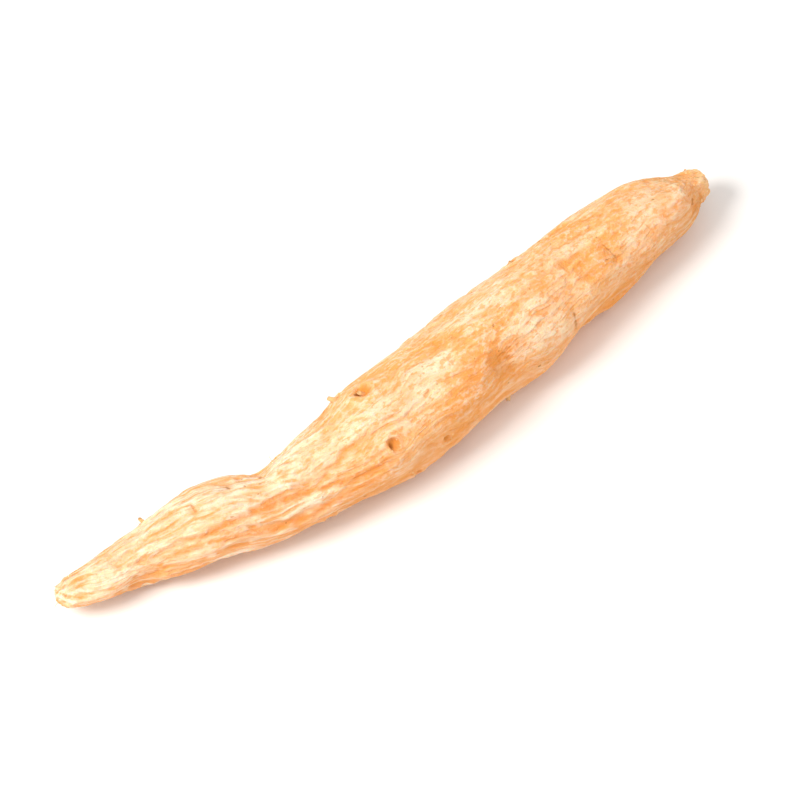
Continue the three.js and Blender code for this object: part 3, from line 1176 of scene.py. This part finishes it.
@dataclass(frozen=True)
class DriedSkin:
    """The skin of a root that was scalded, sun-dried and rubbed, with its colours and its sizes.

    Drying draws the skin into folds that hold the brown sap, and rubbing leaves starch on what stands
    proud. So the eye sees a dry, matt and mealy cream with tawny hollows. The tawny of the hollows,
    folds and furrow bottoms is partly painted shade, and the deeper tan of the lower side is painted
    shade. The thin tail dried harder and smoother, to a straw yellow with long fibres. Patterns give
    their length along the root and their two widths, in millimetres.
    """

    body: str = "#fcc68a"
    pale: str = "#ffdfb8"
    warm: str = "#f7aa5c"
    streak: str = "#f4a257"
    fibre: str = "#ffedd2"
    hollow: str = "#ee983e"
    stain: str = "#dc8230"
    pit: str = "#8a4a14"
    rim: str = "#e08c3a"
    shaded: str = "#ee9c50"
    sap: str = "#ea8a2e"
    crack: str = "#b46f30"
    bloom: str = "#ffead2"
    tail: str = "#ffe6c3"
    crown: str = "#ebac6e"
    crown_shade: str = "#d8944e"
    crown_tip: str = "#f8cf9a"
    fleck: str = "#a8652a"
    clouds: Grain = (5.5, 3.0, 3.0)
    tawny_fibres: Grain = (8.5, 0.4, 0.4)
    pale_fibres: Grain = (7.5, 0.32, 0.32)
    sway: float = 1.3
    sway_scale: float = 0.3
    wrinkle_loops: Grain = (4.6, 0.75, 0.75)
    wrinkle_line: float = 0.09
    wrinkle_breaks: Grain = (2.4, 1.2, 1.2)
    # A starch grain is about 0.02 mm and too fine to show, so clumps of grains are drawn.
    starch_clumps: Grain = (0.38, 0.26, 0.26)
    bare_spots: Grain = (0.5, 0.31, 0.31)
    torn_crumbs: Grain = (0.35, 0.35, 0.35)
    soil_flecks: Grain = (0.5, 0.4, 0.4)
    crown_reach: float = 10.0
    crown_full: float = 1.5
    crown_shade_reach: float = 14.0
    crown_shade_full: float = 3.0
    tip_reach: float = 1.1
    tip_full: float = 0.5
    tip_ragged: float = 2.4
    crack_ragged: float = 1.4
    scar_ragged: float = 1.2
    dry_roughness: float = 0.86
    waxy_roughness: float = 0.66
    ior: float = 1.45
    shine: float = 0.3
    glow: float = 0.4
    glow_radius: tuple[float, float, float] = (1.0, 0.5, 0.22)
    glow_depth: float = 0.5
    tawny_height: float = -0.2
    pale_height: float = 0.16
    starch_height: float = 0.1
    bare_height: float = -0.1
    wrinkle_height: float = -0.03

    def material(self, root_length: float) -> bpy.types.Material:
        """Mix the material.

        Args:
            root_length: The root's length along its middle, in millimetres.

        Returns:
            The material, which reads where the skin lies along and round the root.
        """
        skin = SkinPainter(self, root_length)
        skin.paint_ground()
        skin.paint_crown()
        skin.paint_fibres()
        skin.paint_starch()
        skin.paint_folds()
        skin.paint_scars()
        skin.paint_torn_ends()
        return skin.surface()


class SkinPainter(Painter):
    """The skin's material under way, with where it lies and what the mesh keeps for each point."""

    kept_names = "waxy under fold hollow proud stain sap crack rim pit ragged stem".split()

    def __init__(self, look: DriedSkin, root_length: float) -> None:
        """Read what the mesh keeps, and draw every pattern.

        Args:
            look: The skin's colours and sizes.
            root_length: The root's length along its middle, in millimetres.
        """
        super().__init__("sun_dried_root_skin", look.body)
        self.look = look
        self.length = root_length
        lie = self.add(MESH_VALUE, give="Vector", attribute_name="lie")
        self.lie = lie
        self.s = self.add("ShaderNodeSeparateXYZ", (lie,))
        self.kept = {
            name: self.add(MESH_VALUE, give="Fac", attribute_name=name) for name in self.kept_names
        }
        drift = self.add(NOISE, {"Vector": lie, "Scale": look.sway_scale, "Detail": 1.0}, "Color")
        sway = (0.0, look.sway, look.sway)
        swayed = self.add(VECTOR_MATH, (drift, sway, lie), operation="MULTIPLY_ADD")
        self.clouds = self.mottles(lie, look.clouds, 2.5)
        self.tawny = self.mottles(swayed, look.tawny_fibres, 2.0)
        self.pale = self.mottles(swayed, look.pale_fibres, 1.5)
        self.starch = self.mottles(lie, look.starch_clumps, 3.0, 0.6)
        self.bare = self.mottles(lie, look.bare_spots, 3.0, 0.6)
        loops = self.lines(swayed, look.wrinkle_loops, look.wrinkle_line)
        breaks = self.add(SPREAD, (self.mottles(lie, look.wrinkle_breaks), 0.42, 0.62), **SMOOTH)
        self.wrinkles = self.add(MATH, (loops, breaks), operation="MULTIPLY")

    def paint_ground(self) -> None:
        """Lay the broad tones of the skin."""
        look = self.look
        # Broad clouds of paler and of warmer skin, some millimetres long.
        self.paint(look.pale, (self.clouds, 0.43, 0.58, 0.08, 0.98))
        self.paint(look.warm, (self.clouds, 0.5, 0.36, 0.0, 0.8))
        # The tail kept more of its sap, and dried to a clear straw yellow.
        self.paint(look.tail, self.kept["waxy"], 0.75)
        # Painted shade: the lower side of the root is painted a deeper, warmer tan.
        self.paint(look.shaded, self.kept["under"], 0.7)

    def paint_crown(self) -> None:
        """Brown the crown, and paint shade on its lower side."""
        look = self.look
        end = self.length
        self.paint(look.crown, (self.s, end - look.crown_reach, end - look.crown_full, 0.0, 0.5))
        # Painted shade: the crown's lower side is painted a darker brown.
        crown_shade_share = (self.s, end - look.crown_shade_reach, end - look.crown_shade_full, 0.0, 0.6)
        self.paint(look.crown_shade, crown_shade_share, self.kept["under"])

    def paint_fibres(self) -> None:
        """Draw tawny and pale fibres along the grain, which show most in the thin tail."""
        shown = (self.kept["waxy"], 0.0, 1.0, 0.3, 0.8)
        self.paint(self.look.streak, shown, (self.tawny, 0.49, 0.63))
        self.paint(self.look.fibre, shown, (self.pale, 0.49, 0.62))

    def paint_starch(self) -> None:
        """Dust the mealy body with starch, most of it on what stands proud, with bare skin between."""
        # On the lower side the starch and the bare spots show half as much, which keeps the painted shade
        # there.
        mealy = ((self.kept["waxy"], 0.0, 1.0, 0.66, 0.36), (self.kept["under"], 0.0, 1.0, 1.0, 0.5))
        rubbed = self.add(MATH, (self.kept["proud"], 0.4, 0.6), operation="MULTIPLY_ADD")
        self.paint(self.look.bloom, *mealy, rubbed, (self.starch, 0.48, 0.6))
        self.paint(self.look.streak, *mealy, (self.bare, 0.51, 0.63))

    def paint_folds(self) -> None:
        """Darken the hollows, the folds, the wrinkles and the cracks, where the sap dried. In the hollows,
        the folds, the wrinkles and along the furrow bottoms this darker orange is partly painted shade, and
        the single dents are painted darker too.
        """
        look = self.look
        kept = self.kept
        # Partly painted shade: the hollows of the relief get a darker orange.
        self.paint(look.hollow, (kept["hollow"], 0.05, 1.0, 0.0, 0.75))
        # The single dents get a darker orange.
        self.paint(look.stain, kept["stain"], (self.bare, 0.4, 0.58, 0.1, 0.85))
        # Partly painted shade: the fine folds get a darker orange.
        self.paint(look.hollow, (kept["fold"], 0.35, 1.5, 0.0, 0.4))
        # Partly painted shade: the bottoms of the bold furrows get a darker orange, with the dried sap.
        self.paint(look.sap, kept["sap"], (self.bare, 0.32, 0.54, 0.35, 0.85))
        signed = self.add(MATH, (self.bare, 0.5), operation="SUBTRACT")
        crack = self.add(MATH, (signed, look.crack_ragged, kept["crack"]), operation="MULTIPLY_ADD")
        self.paint(look.crack, (crack, 0.4, 0.95, 0.0, 0.7))
        # Partly painted shade: the thin wrinkle lines get a darker orange.
        self.paint(look.hollow, self.wrinkles, 0.45)

    def paint_scars(self) -> None:
        """Stain the rims and the pits of the rootlet scars, with crumbled edges."""
        signed = self.add(MATH, (self.starch, 0.5), operation="SUBTRACT")
        crumbled = self.add(MATH, (signed, self.look.scar_ragged), operation="MULTIPLY")
        rim = self.add(MATH, (crumbled, self.kept["rim"]), operation="ADD")
        self.paint(self.look.rim, (rim, 0.15, 0.7, 0.0, 0.75))
        pit = self.add(MATH, (crumbled, self.kept["pit"]), operation="ADD")
        self.paint(self.look.pit, (pit, 0.35, 0.9, 0.0, 0.75))

    def paint_torn_ends(self) -> None:
        """Break the crown off pale and crumbly, with a brown hollow where the stem was."""
        look = self.look
        torn = self.mottles(self.lie, look.torn_crumbs, 3.0, 0.65)
        signed = self.add(MATH, (torn, 0.5), operation="SUBTRACT")
        place = self.add(MATH, (signed, look.tip_ragged, self.s), operation="MULTIPLY_ADD")
        tip = (place, self.length - look.tip_reach, self.length - look.tip_full, 0.0, 0.65)
        self.paint(look.crown_tip, tip)
        self.paint(look.crack, self.kept["ragged"], (torn, 0.54, 0.7, 0.0, 0.5))
        self.paint(look.pit, self.kept["stem"], 0.6)
        # A few dark flecks of soil.
        self.paint(look.fleck, (self.mottles(self.lie, look.soil_flecks, 1.0), 0.74, 0.8, 0.0, 0.6))

    def surface(self) -> bpy.types.Material:
        """Close the material with a dry surface that has the patterns' own relief.

        Returns:
            The material.
        """
        look = self.look
        dryness = (self.kept["waxy"], 0.0, 1.0, look.dry_roughness, look.waxy_roughness)
        height = self.add(MATH, (self.tawny, look.tawny_height), operation="MULTIPLY")
        finer = (
            (self.pale, look.pale_height),
            (self.starch, look.starch_height),
            (self.bare, look.bare_height),
            (self.wrinkles, look.wrinkle_height),
        )
        for pattern, rise_mm in finer:
            height = self.add(MATH, (pattern, rise_mm, height), operation="MULTIPLY_ADD")
        return self.finish(
            {
                "Roughness": self.add(SPREAD, dryness, **SMOOTH),
                "Normal": self.add(BUMP, {"Strength": 1.0, "Distance": MM, "Height": height}),
                "Specular IOR Level": look.shine,
                "IOR": look.ior,
                "Subsurface Weight": look.glow,
                "Subsurface Radius": look.glow_radius,
                "Subsurface Scale": look.glow_depth * MM,
            }
        )


@dataclass(frozen=True)
class BrokenFibre:
    """Torn rootlet wood that dried with the root: dull and matt, darker in patches where it broke."""

    name: str = "torn_rootlet_fibre"
    base: str = "#eec086"
    dark: str = "#c98a48"
    patch: float = 0.3
    relief: float = 0.02
    relief_strength: float = 0.4
    roughness: float = 0.85
    shine: float = 0.25

    def material(self) -> bpy.types.Material:
        """Mix the material.

        Returns:
            The material, which reads the place on the object.
        """
        fibre = Painter(self.name, self.base)
        place = fibre.add("ShaderNodeTexCoord", give="Object")
        in_mm = fibre.add(VECTOR_MATH, {0: place, "Scale": 1 / MM}, operation="SCALE")
        patches = fibre.mottles(in_mm, (self.patch, self.patch, self.patch), 3.0)
        fibre.paint(self.dark, (patches, 0.45, 0.65, 0.0, 0.6))
        bump = {"Strength": self.relief_strength, "Distance": self.relief * MM, "Height": patches}
        return fibre.finish(
            {
                "Roughness": self.roughness,
                "Normal": fibre.add(BUMP, bump),
                "Specular IOR Level": self.shine,
            }
        )


# Pieces

@dataclass
class RootSkin:
    """The whole skin of the root, on a grid fine enough for its wrinkles."""

    form: RootForm
    finish: DriedSkin
    wrinkles: FineWrinkles = FineWrinkles()
    name: str = "root_skin"
    ring_step: float = 0.122
    end_rings: int = 16
    sectors: int = 208
    wobble_size: float = 0.045
    bend: float = 0.7
    bend_reach: float = 2.6
    waxy_until: float = 12.0
    mealy_from: float = 27.0
    under_from: float = -0.1
    under_to: float = 0.7
    near_blur: tuple[float, float] = (3.5, 4.5)
    wide_blur: tuple[float, float] = (10.0, 11.0)
    near_hollow: float = 0.14
    wide_hollow: float = 0.3
    near_hollow_share: float = 0.7
    near_proud: float = 0.06
    wide_proud: float = 0.16
    rim_reach: float = 0.8
    pit_reach: float = 0.45
    pit_lean: float = 0.25
    dent_tint_reach: float = 0.8
    sap_and_shade_full: float = 0.6
    sap_and_shade_from: float = 0.25
    crack_share: float = 0.35
    crack_reach: float = 0.8
    ragged_reach: float = 1.5
    ragged_full: float = 0.3

    def build(self) -> bpy.types.Object:
        """Grow the skin and lay its fine wrinkles.

        Returns:
            The skin's object.
        """
        form = self.form
        cut = form.sections(form.ring_places(self.ring_step, self.end_rings))
        at = cut.places((TURN * np.arange(self.sectors) / self.sectors)[None])
        relief = form.relief(self.wobbled(at))
        points = form.skin_points(cut, at.angle, relief)
        points -= (form.stem_pit * self.stem(cut)[:, None] * cut.along)[:, None]
        ends = form.sections(np.array([0.0, form.length]))
        poles = ends.centre - np.array([*form.origin, 0.0])
        poles[1] -= form.stem_pit * ends.along[1]
        flat = np.concatenate([poles[:1], points.reshape(-1, 3), poles[1:]])
        flat[:, 2] = np.maximum(flat[:, 2], 0.0)
        skin = new_object(self.name, flat * MM, tube_faces(len(cut.s), self.sectors))
        store(skin.data, "lie", self.lie(cut, at))
        for name, values in self.marks(cut, at, relief).items():
            grid = np.broadcast_to(values, relief.shape)
            store(skin.data, name, np.concatenate([[grid[0].mean()], grid.ravel(), [grid[-1].mean()]]))
        return WrinkleTree(self.wrinkles, self.finish.material(form.length)).run(skin)

    def wobbled(self, at: Places) -> Places:
        """Shift places a little, so that scars and furrows aren't drawn too cleanly.

        Args:
            at: The places.

        Returns:
            The shifted places.
        """
        waves = ((2.1, 3, 0.4), (3.7, -5, 1.9), (5.3, 7, 3.1), (7.9, -9, 4.6))
        along, around = (
            sum(self.wobble_size * np.sin(k * at.s + n * at.angle + p + phase) for k, n, p in waves)
            for phase in (0.0, 2.0)
        )
        return Places(at.s + along, at.angle + around / at.radius, at.radius)

    def stem(self, cut: Sections) -> np.ndarray:
        """Give how deep each section lies in the pit that the stem left, from 0 to 1."""
        return bell(cut.full, self.form.stem_pit_share) * (cut.s > self.form.length / 2)

    def lie(self, cut: Sections, at: Places) -> np.ndarray:
        """Give where each point lies along and round the root, with the grain bent round the scars.

        Args:
            cut: The cross-sections of the rings.
            at: The places of the points.

        Returns:
            One place a point of the mesh, in millimetres, as if the root were straight.
        """
        around = self.form.along_grain(at).angle
        for scar in self.form.scars:
            near = bell(scar.offset(at), self.bend_reach)
            bent = np.tanh(at.round_from(scar.angle) / scar.size)
            around = around - self.bend * scar.size * bent * near / at.radius
        girth = at.radius * cut.full[:, None]
        along = np.broadcast_to(at.s, around.shape)
        places = np.stack([along, girth * np.cos(around), girth * np.sin(around)], axis=-1)
        return np.vstack([[0.0, 0.0, 0.0], places.reshape(-1, 3), [self.form.length, 0.0, 0.0]])

    def marks(self, cut: Sections, at: Places, relief: np.ndarray) -> dict[str, np.ndarray]:
        """Give what the skin's finish reads at each point.

        Args:
            cut: The cross-sections of the rings.
            at: The places of the points.
            relief: How far the skin stands out there.

        Returns:
            Each mark by its name, from 0 to 1.
        """
        end = self.form.length
        full = self.ragged_full * self.ragged_reach
        at_tail = 1 - rise(full, self.ragged_reach, at.s)
        at_crown = rise(end - self.ragged_reach, end - full, at.s)
        rim, pit = self.scar_marks(at)
        return {
            "waxy": 1 - rise(self.waxy_until, self.mealy_from, at.s),
            # The lower side, which is painted as shade.
            "under": 1 - rise(self.under_from, self.under_to, np.sin(at.angle)),
            "hollow": self.hollow(relief),
            "proud": self.proud(relief),
            "rim": rim,
            "pit": pit,
            "stain": self.stain(at),
            "sap": self.sap(at),
            "crack": self.crack(at),
            "ragged": at_tail + at_crown,
            "stem": self.stem(cut)[:, None],
        }

    def hollow(self, relief: np.ndarray) -> np.ndarray:
        """Give how hollow the skin is, against the skin near by and farther off.

        Args:
            relief: How far the skin stands out.

        Returns:
            0 on level skin and 1 in a deep hollow.
        """
        near = np.clip((blurred(relief, *self.near_blur) - relief) / self.near_hollow, 0, 1)
        wide = np.clip((blurred(relief, *self.wide_blur) - relief) / self.wide_hollow, 0, 1)
        return near * self.near_hollow_share + wide * (1 - self.near_hollow_share)

    def proud(self, relief: np.ndarray) -> np.ndarray:
        """Give how proud the skin is, against the skin near by and farther off.

        Args:
            relief: How far the skin stands out.

        Returns:
            0 on level skin and 1 on a high ridge.
        """
        near = np.clip((relief - blurred(relief, *self.near_blur)) / self.near_proud, 0, 1)
        wide = np.clip((relief - blurred(relief, *self.wide_blur)) / self.wide_proud, 0, 1)
        return (near + wide) / 2

    def scar_marks(self, at: Places) -> tuple[np.ndarray, np.ndarray]:
        """Give where the scars have their rims and, a little towards the tail, their dark pits.

        Args:
            at: The places.

        Returns:
            The rims and the pits, fainter for small scars.
        """
        rim = at.zeros()
        pit = at.zeros()
        for scar in self.form.scars:
            strength = min(scar.size / self.form.scar_size, 1.0)
            dark = replace(scar, s=scar.s - self.pit_lean * scar.size)
            rim = np.maximum(rim, strength * bell(scar.offset(at), self.rim_reach))
            pit = np.maximum(pit, strength * bell(dark.offset(at), self.pit_reach))
        return rim, pit

    def stain(self, at: Places) -> np.ndarray:
        """Give where the single hollows are painted darker, 1 in the middle of one and 0 outside."""
        hollows = [mound for mound in self.form.single_mounds if mound.height < 0]
        return np.max([bell(mound.offset(at), self.dent_tint_reach * mound.size) for mound in hollows], axis=0)

    def sap(self, at: Places) -> np.ndarray:
        """Give the bottoms of the bold furrows, painted darker for dried sap and partly as painted shade.

        Args:
            at: The places.

        Returns:
            1 along the bottom of a furrow and 0 outside.
        """
        grain = self.form.along_grain(at)
        bold = self.form.seen_furrows
        depth = np.max([furrow.depth_at(grain) / (self.sap_and_shade_full * furrow.depth) for furrow in bold], axis=0)
        return np.clip(depth - self.sap_and_shade_from, 0, 1)

    def crack(self, at: Places) -> np.ndarray:
        """Give where the skin cracked along the bottom of each crease, from 0 to 1."""
        thin = (self.form.crease_bow, self.crack_share, self.crack_reach)
        return np.max([crease.line(at, *thin) for crease in self.form.creases], axis=0)


@dataclass(frozen=True)
class Perch:
    """Where a small shape stands: its foot, its turn and its three sizes, in millimetres."""

    foot: Vector
    lean: Quaternion
    size: tuple[float, float, float]


@dataclass
class Perched:
    """Copies of one small shape, each on its own perch."""

    name: str
    shape: bpy.types.Object
    perches: list[Perch]
    finish: bpy.types.Material

    def build(self) -> bpy.types.Object:
        """Set the copies on their perches.

        Returns:
            One object that holds them all.
        """
        points = np.array([p.foot for p in self.perches])
        made = new_object(self.name, points * MM, [])
        store(made.data, "lean", np.array([p.lean.to_euler() for p in self.perches]))
        store(made.data, "size", np.array([p.size for p in self.perches]) * MM)
        perch_tree(self.name + "_perches", self.shape, self.finish).run(made)
        shape_mesh = self.shape.data
        bpy.data.objects.remove(self.shape)
        bpy.data.meshes.remove(shape_mesh)
        return made


def on_skin(skin: bpy.types.Object, place: Vector) -> tuple[Vector, Vector]:
    """Find the nearest point of the finished skin.

    Args:
        skin: The skin's object.
        place: A place near it, in millimetres.

    Returns:
        The point in millimetres, and the way outwards from it.
    """
    graph = bpy.context.evaluated_depsgraph_get()
    _, point, outward, _ = skin.closest_point_on_mesh(place * MM, depsgraph=graph)
    return point / MM, outward


@dataclass
class RootletStubs:
    """The broken rootlets that still stand in their scars."""

    form: RootForm
    finish: bpy.types.Material
    name: str = "rootlet_stubs"
    foot: float = 0.26
    tip: float = 0.13
    sunk: float = 0.7
    ridges: int = 3
    ridge: float = 0.12
    ridge_start: float = 1.3
    rough: float = 0.07
    ragged: float = 0.1
    twist: float = 0.5
    hollow_tip: float = 0.86
    round_foot: float = 0.05
    sectors: int = 12
    rings: int = 9
    seed: int = 311

    def shape(self) -> bpy.types.Object:
        """Make one ragged stub, one millimetre long from its foot to its broken tip.

        Returns:
            The stub's object.
        """
        draws = Draws(self.seed)
        rows = []
        for ring in range(self.rings):
            share = ring / (self.rings - 1)
            for j in range(self.sectors):
                turn = TURN * j / self.sectors
                ridge = 1 + self.ridge * math.cos(self.ridges * turn + self.ridge_start)
                ridge += draws.between(-self.rough, self.rough)
                ragged = self.ragged * draws.between(-1, 1) * (ring == self.rings - 1)
                turn += self.twist * share
                rows.append((ridge * math.cos(turn), ridge * math.sin(turn), share + ragged))
        points = np.array(rows)
        taper = 1 - (1 - self.tip / self.foot) * points[:, 2:].clip(0, 1)
        points[:, :2] *= taper * self.foot
        ends = [(0.0, 0.0, -self.round_foot), (0.0, 0.0, self.hollow_tip)]
        points = np.vstack([ends[:1], points, ends[1:]])
        return new_object(self.name + "_shape", points, tube_faces(self.rings, self.sectors))

    def build(self) -> bpy.types.Object:
        """Stand every stub in its scar.

        Returns:
            The stubs' object.
        """
        draws = Draws(self.seed + 1)
        perches = []
        for stub in self.form.stubs():
            spin = Quaternion((0, 0, 1), draws.between(0, TURN))
            lean = stub.direction.to_track_quat("Z", "Y") @ spin
            foot = stub.foot - self.sunk * stub.direction
            thick = draws.between(0.85, 1.1)
            perches.append(Perch(foot, lean, (thick, thick, self.sunk + stub.length)))
        return Perched(self.name, self.shape(), perches, self.finish).build()


@dataclass
class RootletHairs:
    """Fine rootlet fibres that are left in the scars and at the torn tail."""

    form: RootForm
    skin: bpy.types.Object
    finish: bpy.types.Material
    name: str = "rootlet_hairs"
    thick: float = 0.024
    taper: float = 0.7
    bow: float = 0.28
    round_foot: float = 0.02
    point: float = 0.03
    sectors: int = 5
    rings: int = 6
    most_a_scar: int = 2
    tail_hairs: int = 5
    shortest: float = 0.3
    longest: float = 0.75
    sunk: float = 0.15
    seed: int = 77

    def shape(self) -> bpy.types.Object:
        """Make one bowed and tapering fibre, one millimetre long.

        Returns:
            The fibre's object.
        """
        rows = []
        for ring in range(self.rings):
            share = ring / (self.rings - 1)
            thick = self.thick * (1 - self.taper * share)
            for j in range(self.sectors):
                turn = TURN * j / self.sectors
                rows.append((thick * math.cos(turn) + self.bow * share**2, thick * math.sin(turn), share))
        points = [(0.0, 0.0, -self.round_foot), *rows, (self.bow, 0.0, 1 + self.point)]
        return new_object(self.name + "_shape", np.array(points), tube_faces(self.rings, self.sectors))

    def perch(self, s: float, angle: float, draws: Draws) -> Perch:
        """Stand one fibre on the skin.

        Args:
            s: The distance from the tail.
            angle: The angle round the root.
            draws: The seeded draws.

        Returns:
            The fibre's perch.
        """
        place, _, along = self.form.spot(s, angle)
        foot, outward = on_skin(self.skin, place)
        around = along.cross(outward)
        way = outward - draws.between(0.2, 1.6) * along + draws.between(-0.8, 0.8) * around
        spin = Quaternion((0, 0, 1), draws.between(0, TURN))
        length = draws.between(self.shortest, self.longest)
        return Perch(foot - self.sunk * outward, way.to_track_quat("Z", "Y") @ spin, (1.0, 1.0, length))

    def build(self) -> bpy.types.Object:
        """Stand every fibre.

        Returns:
            The fibres' object.
        """
        draws = Draws(self.seed)
        perches = []
        for scar in self.form.scars:
            for _ in range(round(draws.between(0, self.most_a_scar))):
                s = scar.s + scar.size * draws.between(-0.3, 0.3)
                perches.append(self.perch(s, scar.angle + draws.between(-0.08, 0.08), draws))
        for _ in range(self.tail_hairs):
            perches.append(self.perch(draws.between(0.1, 0.5), draws.between(0, math.pi), draws))
        return Perched(self.name, self.shape(), perches, self.finish).build()


@dataclass
class SkinCrumbs:
    """Flakes of dry skin and starch that cling round the scars and in the crown."""

    form: RootForm
    skin: bpy.types.Object
    finish: bpy.types.Material
    name: str = "skin_crumbs"
    round_scars: int = 5
    at_crown: int = 26
    anywhere: int = 60
    least: float = 0.035
    most: float = 0.085
    seed: int = 5150

    def shape(self) -> bpy.types.Object:
        """Make one rough lump of 20 faces, about one millimetre across its half.

        Returns:
            The lump's object.
        """
        draws = Draws(self.seed)
        golden = (1 + math.sqrt(5)) / 2
        pairs = [(a, b) for a in (-1, 1) for b in (-golden, golden)]
        corners = [Vector(p) for a, b in pairs for p in ((0, a, b), (a, b, 0), (b, 0, a))]
        lump = bmesh.new()
        for corner in corners:
            lump.verts.new(corner.normalized() * draws.between(0.75, 1.2))
        bmesh.ops.convex_hull(lump, input=lump.verts)
        mesh = bpy.data.meshes.new(self.name + "_shape")
        lump.to_mesh(mesh)
        lump.free()
        made = bpy.data.objects.new(mesh.name, mesh)
        bpy.context.scene.collection.objects.link(made)
        return made

    def perch(self, s: float, angle: float, draws: Draws) -> Perch:
        """Set one crumb on the skin.

        Args:
            s: The distance from the tail.
            angle: The angle round the root.
            draws: The seeded draws.

        Returns:
            The crumb's perch.
        """
        foot, outward = on_skin(self.skin, self.form.spot(s, angle)[0])
        turn = outward.to_track_quat("Z", "Y") @ Quaternion((0, 0, 1), draws.between(0, TURN))
        size = draws.between(self.least, self.most)
        across = size * draws.between(1.0, 2.0)
        return Perch(foot, turn, (across, size * draws.between(0.6, 1.2), 0.5 * size))

    def build(self) -> bpy.types.Object:
        """Set every crumb.

        Returns:
            The crumbs' object.
        """
        draws = Draws(self.seed + 1)
        length = self.form.length
        places = []
        for scar in self.form.scars:
            for _ in range(self.round_scars):
                turn = draws.between(0, TURN)
                off = scar.size * draws.between(0.2, 1.3)
                places.append((scar.s + off * math.cos(turn), scar.angle + off * math.sin(turn) / 3))
        places += [(length - draws.between(0.3, 1.8), draws.between(0, TURN)) for _ in range(self.at_crown)]
        places += [(draws.between(1, length - 2), draws.between(0, TURN)) for _ in range(self.anywhere)]
        perches = [self.perch(s, angle, draws) for s, angle in places]
        kept = [perch for perch in perches if perch.foot.z > self.most]
        return Perched(self.name, self.shape(), kept, self.finish).build()


# The studio

@dataclass(frozen=True)
class Light:
    """A soft light: where it stands as seen from the front, its size in metres and its power."""

    name: str
    azimuth: float
    elevation: float
    distance: float
    size: float
    power: float
    colour: str


@dataclass
class Studio:
    """A pale floor, soft lights and the camera."""

    azimuth: float = -36.8
    elevation: float = 58.0
    distance: float = 0.6
    frame_width: float = 0.0515
    aim: tuple[float, float, float] = (0.0, 0.0, 0.003)
    sensor: float = 36.0
    floor_size: float = 4.0
    floor_colour: str = "#fbfaf8"
    sky_colour: str = "#ffffff"
    sky_strength: float = 0.57
    lights: tuple[Light, ...] = (
        Light("key_softbox", -100.0, 50.0, 0.5, 0.22, 1.98, "#fffdfa"),
        Light("top_softbox", -30.0, 78.0, 0.5, 0.5, 0.5, "#ffffff"),
        Light("warm_reflector", 53.0, 22.0, 0.5, 0.3, 0.22, "#ffa860"),
    )

    def direction(self, azimuth: float, elevation: float) -> Vector:
        """Give the direction from the root towards a place in the studio.

        Args:
            azimuth: Degrees round from the front.
            elevation: Degrees above the floor.

        Returns:
            The direction, one metre long.
        """
        a = math.radians(azimuth)
        e = math.radians(elevation)
        return Vector((math.sin(a) * math.cos(e), -math.cos(a) * math.cos(e), math.sin(e)))

    def build(self) -> None:
        """Set up the floor, the lights, the sky and the camera."""
        self.build_floor()
        for light in self.lights:
            self.build_light(light)
        self.build_sky()
        self.build_camera()

    def build_floor(self) -> None:
        """Lay a matt white board under the root."""
        half = self.floor_size / 2
        corners = np.array([(-half, -half, 0), (half, -half, 0), (half, half, 0), (-half, half, 0)])
        floor = new_object("floor", corners, [(0, 1, 2, 3)])
        board = Painter("matt_white_board", self.floor_colour)
        floor.data.materials.append(board.finish({"Roughness": 0.9, "Specular IOR Level": 0.1}))

    def build_light(self, light: Light) -> None:
        """Hang one soft light.

        Args:
            light: The light.
        """
        data = bpy.data.lights.new(light.name, "AREA")
        data.shape = "DISK"
        data.size = light.size
        data.energy = light.power
        data.color = linear(light.colour)[:3]
        lamp = bpy.data.objects.new(light.name, data)
        away = self.direction(light.azimuth, light.elevation)
        lamp.location = away * light.distance
        lamp.rotation_euler = away.to_track_quat("Z", "Y").to_euler()
        bpy.context.scene.collection.objects.link(lamp)

    def build_sky(self) -> None:
        """Fill the room with even light."""
        world = bpy.data.worlds.new("studio_air")
        world.use_nodes = True
        world.node_tree.nodes.clear()
        sockets = {"Color": linear(self.sky_colour), "Strength": self.sky_strength}
        air = add_node(world.node_tree, "ShaderNodeBackground", sockets)
        add_node(world.node_tree, "ShaderNodeOutputWorld", {"Surface": air})
        bpy.context.scene.world = world

    def build_camera(self) -> None:
        """Stand the camera where the photograph was taken from, with the root across the frame."""
        data = bpy.data.cameras.new("camera")
        data.sensor_width = self.sensor
        data.lens = self.sensor * self.distance / self.frame_width
        camera = bpy.data.objects.new("camera", data)
        away = self.direction(self.azimuth, self.elevation)
        camera.location = Vector(self.aim) + away * self.distance
        camera.rotation_euler = away.to_track_quat("Z", "Y").to_euler()
        bpy.context.scene.collection.objects.link(camera)
        bpy.context.scene.camera = camera
        bpy.context.scene.view_settings.view_transform = "Standard"


def settle(piece: bpy.types.Object) -> None:
    """Fix a finished piece to the root's body.

    Args:
        piece: The piece.
    """
    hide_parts(NODE)
    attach(piece, BODY)
    log.info("%s: %d faces", piece.name, len(piece.data.polygons))


def main() -> None:
    """Build the root's pieces and the studio."""
    logging.basicConfig(level=logging.INFO, format="%(name)s: %(message)s")
    form = RootForm()
    fibre = BrokenFibre().material()
    crumbs = BrokenFibre("starchy_skin_crumbs", "#f6ca92", "#dfa362").material()
    skin = RootSkin(form, DriedSkin()).build()
    settle(skin)
    settle(RootletStubs(form, fibre).build())
    settle(RootletHairs(form, skin, fibre).build())
    settle(SkinCrumbs(form, skin, crumbs).build())
    Studio().build()


if __name__ == "__main__":
    main()
